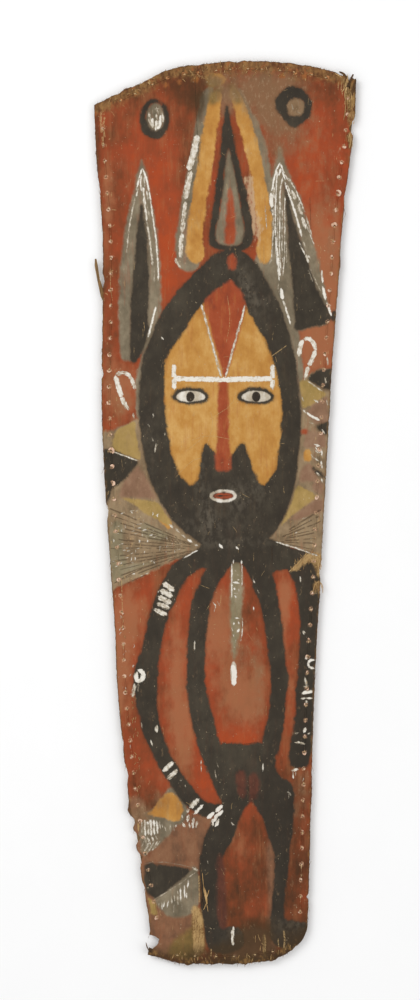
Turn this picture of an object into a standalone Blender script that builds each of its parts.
# A painted shield of palm sheath, lying on its back with the painted face up.
# One stiff sheet is sewn all round to flat slats of split leaf stalk on its back.
# Metres, +Z up, +Y towards the shield's top, +X to the right of someone facing the paint.
# The origin is on the ground, under the middle of the shield.
from collections import namedtuple

import bmesh
import bpy
import numpy as np

mm = 0.001

# Driving sizes; the edges below are drawn on a sheet of this length, from its middle
sheet_length = 1600 * mm
sheet_thickness = 5 * mm
crown_height = 12 * mm
slat_width = 20 * mm
slat_thickness = 6 * mm
slat_inset = 4 * mm
strand_width = 2.0 * mm
strand_thickness = 1.6 * mm
stitch_pitch = 27.5 * mm
strand_tail = 7 * mm
fitting_gap = 0.3 * mm
hole_clearance = 0.4 * mm
field_margin = 7 * mm

# The channel along the back of a slat, which keeps the strand off the ground
channel_width = 9 * mm
channel_slope = 2 * mm
strand_clearance = 0.5 * mm
channel_depth = fitting_gap + strand_thickness + strand_clearance

# Heights of the stack at the rim
sheet_back = slat_thickness + fitting_gap
sheet_front = sheet_back + sheet_thickness
strand_back_middle = strand_clearance + strand_thickness / 2
strand_front_middle = sheet_front + fitting_gap + strand_thickness / 2

# Where the stitch line and the crowned field lie in from the sheet's edge
stitch_inset = slat_inset + slat_width / 2
rim_width = slat_inset + slat_width + field_margin

# How finely the outline, the slats and the crown are cut
edge_step = 50 * mm
chip_spacing = 12 * mm
tangent_reach = 2 * mm
crown_columns = 8
crown_rows = 16

# How fast the crown falls away towards the sides and, late, towards the ends
side_fall = 2
end_fall = 6

# The torn corner ends the right edge at this height and the top edge at this distance
corner_tear_low = 757 * mm
corner_tear_left = 205 * mm

# The broken end of the right slat: how far it runs on, its width and its lean, in slat widths
broken_end_length = 28 * mm
broken_end_width = 0.35
broken_end_lean = 0.2


def in_metres(rows):
    return [tuple(value * mm for value in row) for row in rows]


# A side of the sheet: its smooth edge, its chips, whether it runs along Y, which way is
# inwards, the ends of its slat, and how many stitches the slat runs straight for.
# An edge is a few places along it, each with its distance from the sheet's middle.
# A chip is its place, its depth inwards, and its reach down and up the edge.
Side = namedtuple("Side", "name edge chips upright inward slat_ends straight")

left_side = Side(
    "left",
    in_metres([
        (-745, -133), (-660, -145), (-560, -162), (-490, -172), (-400, -182),
        (-300, -191), (-200, -195), (-90, -203), (40, -212), (180, -218), (390, -216),
        (500, -217), (620, -227), (722, -232),
    ]),
    in_metres([
        (-664, 3, 20, 14), (-608, 8, 20, 10), (-575, 10, 12, 14), (-547, 7, 8, 13),
        (-464, 4, 16, 26), (-405, 2, 10, 12), (6, 4, 22, 12), (247, 4, 10, 12),
        (411, 3, 14, 12), (570, 2, 20, 24),
    ]),
    True, 1, (-726 * mm, 690 * mm), 2,
)
right_side = Side(
    "right",
    in_metres([
        (-735, 146), (-600, 150), (-450, 154), (-350, 157), (-250, 161), (-140, 168),
        (-20, 174), (110, 181), (250, 189), (400, 200), (500, 207), (600, 218),
        (700, 230), (767, 232),
    ]),
    in_metres([
        (-679, 4, 5, 6), (-500, -1, 26, 30), (-101, 3, 18, 14), (-65, 1, 10, 20),
        (440, -2, 20, 16), (560, 2, 16, 20), (680, 9, 13, 22),
    ]),
    True, -1, (-716 * mm, 744 * mm), 2,
)
top_side = Side(
    "top",
    in_metres([
        (-232, 722), (-200, 737), (-157, 757), (-105, 783), (-50, 793), (35, 800),
        (110, 796), (180, 784), (232, 767),
    ]),
    in_metres([
        (-178, -3, 10, 14), (-129, 2, 9, 12), (6, -1, 5, 6), (22, 2, 10, 9),
        (205, 2, 10, 9),
    ]),
    False, -1, (-196 * mm, 190 * mm), 1,
)
bottom_side = Side(
    "bottom",
    in_metres([
        (-120, -786), (-88, -796), (-45, -798), (25, -798), (70, -793), (99, -785),
        (125, -767), (139, -751), (146, -735),
    ]),
    in_metres([(-66, -2, 8, 8), (-4, 1, 20, 12), (36, -2, 7, 6), (84, -3, 8, 7)]),
    False, 1, (-96 * mm, 96 * mm), 1,
)
sides = [left_side, right_side, top_side, bottom_side]

# The tear at the top right, from its inner lip to its outer one
corner_tear = in_metres([(213, 774), (216, 764), (221, 744), (225, 757), (226, 768)])

# The torn lower left corner: an open bite above a thin hooked lip
corner_bite = in_metres([(-131, -747), (-124, -749), (-116, -754), (-119, -764), (-129, -772)])
corner_lip = in_metres([(-135, -768), (-138, -772), (-132, -780)])
corner_bite_top = -743 * mm

# The splinter standing off the left edge, from its root to its tip: place and width
splinter_line = in_metres([(-216, 385, 9), (-224, 414, 5), (-228, 438, 6), (-229, 450, 3)])
splinter_root = (381 * mm, 388 * mm)


def edge_value(side, place):
    # A smooth curve through the edge's places, by cubic pieces with matched slopes
    xs = np.array([row[0] for row in side.edge])
    ys = np.array([row[1] for row in side.edge])
    slopes = np.gradient(ys, xs)
    place = min(max(place, xs[0]), xs[-1])
    k = min(int(np.searchsorted(xs, place, side="right")) - 1, len(xs) - 2)
    span = xs[k + 1] - xs[k]
    t = (place - xs[k]) / span
    near = (1 + 2 * t) * (1 - t) ** 2 * ys[k] + t * (1 - t) ** 2 * slopes[k] * span
    far = t * t * (3 - 2 * t) * ys[k + 1] - t * t * (1 - t) * slopes[k + 1] * span
    return near + far


def chip_depth(side, place):
    # How far the edge is worn in at a place; a negative depth stands out
    depth = 0.0
    for middle, deepest, before, after in side.chips:
        reach = before if place < middle else after
        depth += deepest * max(0.0, 1 - abs(place - middle) / reach)
    return depth


def edge_point(side, place, inset):
    # The point in from the edge at a place along it
    value = edge_value(side, place) + side.inward * inset
    return (value, place) if side.upright else (place, value)


def edge_places(side):
    # The edge's own places and the corners of its chips, with even steps where they are far
    corners = []
    for middle, deepest, before, after in side.chips:
        corners += [middle - before, middle, middle + after]
    own = [row[0] for row in side.edge[1:-1]]
    own = [place for place in own if all(abs(place - c) > chip_spacing for c in corners)]
    fixed = sorted([side.edge[0][0], side.edge[-1][0]] + own + corners)
    places = []
    for here, following in zip(fixed, fixed[1:]):
        count = max(1, round((following - here) / edge_step))
        places += [here + (following - here) * i / count for i in range(count)]
    return places + [fixed[-1]]


def worn_edge(side):
    # The edge as it is now, chips and all, in the order of its places
    return [edge_point(side, place, chip_depth(side, place)) for place in edge_places(side)]


def directions(runs):
    # Unit directions of travel and the directions to their left
    runs = runs / np.linalg.norm(runs, axis=1)[:, None]
    return runs, np.stack([-runs[:, 1], runs[:, 0]], axis=1)


def splinter_outline():
    # Up the splinter's inner side to the tip and down its outer side to the root
    line = np.array([row[:2] for row in splinter_line])
    half = np.array([row[2] for row in splinter_line])[:, None] / 2
    across = directions(np.gradient(line, axis=0))[1]
    inner, outer = line - across * half, line + across * half
    return [tuple(p) for p in inner[1:]] + [tuple(p) for p in outer[:0:-1]]


def sheet_outline():
    # Counterclockwise round the sheet, from the hooked lip at the lower left
    bottom = corner_lip + worn_edge(bottom_side)
    top_right = edge_point(right_side, right_side.edge[-1][0], 0)
    right = [p for p in worn_edge(right_side)[1:] if p[1] < corner_tear_low] + [top_right]
    top = [p for p in worn_edge(top_side)[::-1] if p[0] < corner_tear_left]
    left = worn_edge(left_side)[-2::-1]
    root_low, root_high = splinter_root
    above = [p for p in left if p[1] > root_high] + [edge_point(left_side, root_high, 0)]
    below = [p for p in left if corner_bite_top < p[1] < root_low]
    left = above + splinter_outline() + below + corner_bite
    return bottom + right + corner_tear[::-1] + top + left


def crown_place(u, v):
    # A point of the crowned field inside the flat rim, for u and v from 0 to 1
    level = (v - 0.5) * (sheet_length - 2 * rim_width)
    x_left = edge_point(left_side, level, rim_width)[0]
    x_right = edge_point(right_side, level, rim_width)[0]
    x = x_left + (x_right - x_left) * u
    y_low = edge_point(bottom_side, x, rim_width)[1]
    y_high = edge_point(top_side, x, rim_width)[1]
    y = y_low + (y_high - y_low) * v
    across = (1 - (2 * u - 1) ** side_fall) ** 2
    along = (1 - (2 * v - 1) ** end_fall) ** 2
    return x, y, sheet_front + crown_height * across * along


def new_object(name, bm, colour, roughness):
    bmesh.ops.recalc_face_normals(bm, faces=bm.faces)
    mesh = bpy.data.meshes.new(name)
    bm.to_mesh(mesh)
    bm.free()
    piece = bpy.data.objects.new(name, mesh)
    bpy.context.collection.objects.link(piece)
    material = bpy.data.materials.new(name + "_finish")
    material.use_nodes = True
    shader = material.node_tree.nodes["Principled BSDF"]
    shader.inputs["Base Color"].default_value = (*colour, 1)
    shader.inputs["Roughness"].default_value = roughness
    shader.inputs["Metallic"].default_value = 0
    mesh.materials.append(material)
    return piece


def extrude_up(bm, faces, height):
    # Keeps the faces where they are and closes a wall from them to their raised copy
    grown = bmesh.ops.extrude_face_region(bm, geom=faces, use_keep_orig=True)
    moved = [item for item in grown["geom"] if isinstance(item, bmesh.types.BMVert)]
    bmesh.ops.translate(bm, verts=moved, vec=(0, 0, height))


def hole_places(side):
    # An even number of holes at an even pitch, the outer ones half a width from the slat's ends
    first = side.slat_ends[0] + slat_width / 2
    length = side.slat_ends[1] - slat_width / 2 - first
    count = 2 * round(length / stitch_pitch / 2)
    return [first + length * i / (count - 1) for i in range(count)]


def rim_frames(side, places):
    # Points of the stitch line, the direction along it and the direction across it
    points = [np.array(edge_point(side, place, stitch_inset)) for place in places]
    ahead = np.array([edge_point(side, place + tangent_reach, stitch_inset) for place in places])
    behind = np.array([edge_point(side, place - tangent_reach, stitch_inset) for place in places])
    runs, across = directions(ahead - behind)
    return points, runs, across


def hole_corners(side):
    # The four corners of each stitch hole of a side
    points, runs, across = rim_frames(side, hole_places(side))
    along = strand_thickness / 2 + hole_clearance
    wide = strand_width / 2 + hole_clearance
    signs = ((-1, -1), (1, -1), (1, 1), (-1, 1))
    holes = []
    for point, run, sideways in zip(points, runs, across):
        holes.append([point + run * i * along + sideways * j * wide for i, j in signs])
    return holes


def loop_edges(bm, points, height):
    # A closed loop of edges through a row of points at one height
    verts = [bm.verts.new((*point, height)) for point in points]
    return [bm.edges.new(pair) for pair in zip(verts, verts[1:] + verts[:1])]


def make_sheet():
    # The crowned field is a grid; a flat rim with the stitch holes fills out to the edge
    bm = bmesh.new()
    grid = bmesh.ops.create_grid(bm, x_segments=crown_columns, y_segments=crown_rows, size=0.5)
    for vert in grid["verts"]:
        vert.co = crown_place(vert.co.x + 0.5, vert.co.y + 0.5)
    edges = [edge for edge in bm.edges if edge.is_boundary]
    edges += loop_edges(bm, sheet_outline(), sheet_front)
    for side in sides:
        for hole in hole_corners(side):
            edges += loop_edges(bm, hole, sheet_front)
    bmesh.ops.triangle_fill(bm, edges=edges, use_beauty=True, normal=(0, 0, 1))
    extrude_up(bm, bm.faces[:], -sheet_thickness)
    return new_object("painted_sheet", bm, (0.30, 0.09, 0.035), 0.75)


def sweep(rings):
    # One closed bar through a row of rings, its end face extruded on to each next ring
    bm = bmesh.new()
    end = bm.faces.new([bm.verts.new(point) for point in rings[0]])
    copy = bmesh.ops.duplicate(bm, geom=[end])
    start = next(item for item in copy["geom"] if isinstance(item, bmesh.types.BMFace))
    start.normal_flip()
    for ring in rings[1:]:
        end = bmesh.ops.extrude_discrete_faces(bm, faces=[end])["faces"][0]
        for vert, point in zip(end.verts, ring):
            vert.co = point
    bmesh.ops.remove_doubles(bm, verts=bm.verts, dist=0.01 * mm)
    return bm


def slat_ring(point, sideways, width):
    # Two lands on the ground with the channel between them, and the flat face to the sheet
    half = slat_width / 2
    outer = channel_width / 2
    inner = outer - channel_slope
    section = [
        (-half, 0), (-outer, 0), (-inner, channel_depth), (inner, channel_depth),
        (outer, 0), (half, 0), (half, slat_thickness), (-half, slat_thickness),
    ]
    return [(*(point + sideways * across * width), up) for across, up in section]


def make_slat(side):
    # A slat bends half way between two holes and runs straight for a stitch or two
    holes = hole_places(side)
    bends = range(side.straight, len(holes) - 1, side.straight)
    middles = [(holes[i - 1] + holes[i]) / 2 for i in bends]
    points, runs, across = rim_frames(side, [side.slat_ends[0]] + middles + [side.slat_ends[1]])
    rings = [slat_ring(point, sideways, 1) for point, sideways in zip(points, across)]
    if side is right_side:
        tip = points[-1] + runs[-1] * broken_end_length
        tip = tip + across[-1] * slat_width * broken_end_lean
        rings.append(slat_ring(tip, across[-1], broken_end_width))
    return new_object(side.name + "_slat", sweep(rings), (0.34, 0.20, 0.09), 0.7)


def strand_ring(point, run, sideways, height, turn):
    # The strand's section on the mitre of a bend; turn is -1 going up, 1 going down, 0 at an end
    thick, wide = strand_thickness / 2, strand_width / 2
    upper, lower = point + run * turn * thick, point - run * turn * thick
    return [
        (*(upper - sideways * wide), height + thick),
        (*(upper + sideways * wide), height + thick),
        (*(lower + sideways * wide), height - thick),
        (*(lower - sideways * wide), height - thick),
    ]


def make_stitching(side):
    # A running stitch: up through a hole, along the front, down the next, along the back
    frames = list(zip(*rim_frames(side, hole_places(side))))
    levels = (strand_back_middle, strand_front_middle)
    point, run, sideways = frames[0]
    rings = [strand_ring(point - run * strand_tail, run, sideways, levels[0], 0)]
    for k, (point, run, sideways) in enumerate(frames):
        rising = k % 2 == 0
        for height in levels if rising else levels[::-1]:
            rings.append(strand_ring(point, run, sideways, height, -1 if rising else 1))
    rings.append(strand_ring(point + run * strand_tail, run, sideways, levels[0], 0))
    return new_object(side.name + "_stitching", sweep(rings), (0.62, 0.45, 0.24), 0.6)


def make_hole_cutter():
    # One square prism through the slats at each stitch hole
    bm = bmesh.new()
    for side in sides:
        for hole in hole_corners(side):
            face = bm.faces.new([bm.verts.new((*corner, -slat_thickness)) for corner in hole])
            extrude_up(bm, [face], 3 * slat_thickness)
    cutter = new_object("stitch_holes", bm, (0.1, 0.1, 0.1), 0.5)
    cutter.hide_render = True
    cutter.display_type = "WIRE"
    return cutter


def cut_holes(slat, cutter):
    cut = slat.modifiers.new("stitch holes", "BOOLEAN")
    cut.operation = "DIFFERENCE"
    cut.solver = "EXACT"
    cut.object = cutter


def main():
    for old in list(bpy.data.objects):
        bpy.data.objects.remove(old)
    make_sheet()
    cutter = make_hole_cutter()
    for side in sides:
        cut_holes(make_slat(side), cutter)
        make_stitching(side)


main()
